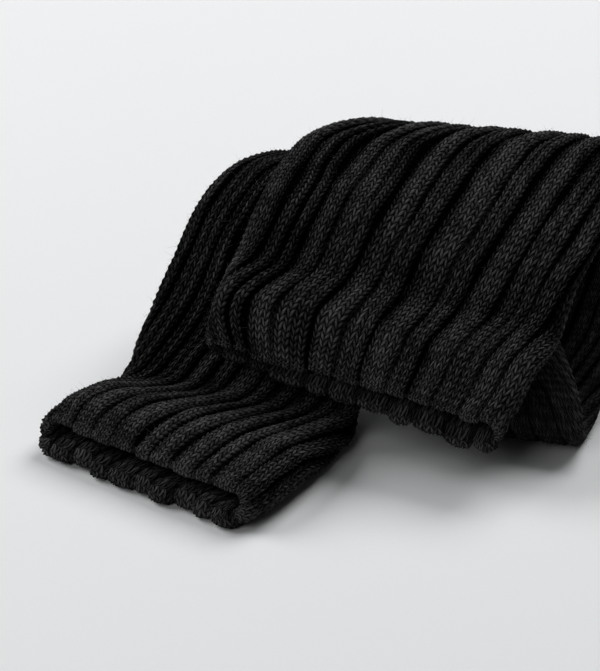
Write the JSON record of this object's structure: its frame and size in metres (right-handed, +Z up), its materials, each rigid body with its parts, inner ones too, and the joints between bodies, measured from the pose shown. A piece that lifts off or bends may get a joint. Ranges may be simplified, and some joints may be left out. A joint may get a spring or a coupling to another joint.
{
  "type": "pair of footless ribbed calf socks",
  "caption": "Open-ended rib-knit tubes for the calves, flattened and folded into soft arches, one laid over the other.",
  "frame": {"origin": "middle of the pair's bounding box, on the floor it lies on", "axes": "+X along the front from the flat cuff's side towards the arch's right, +Y away from the open cuffs to the folds behind, +Z up"},
  "size_m": [0.3261, 0.3426, 0.1169],
  "materials": {
    "rib_knit": "matt, slightly fuzzy chunky yarn"
  },
  "bodies": {
    "root": {"sock_lower": "rib_knit", "sock_upper": "rib_knit"}
  },
  "joints": []
}
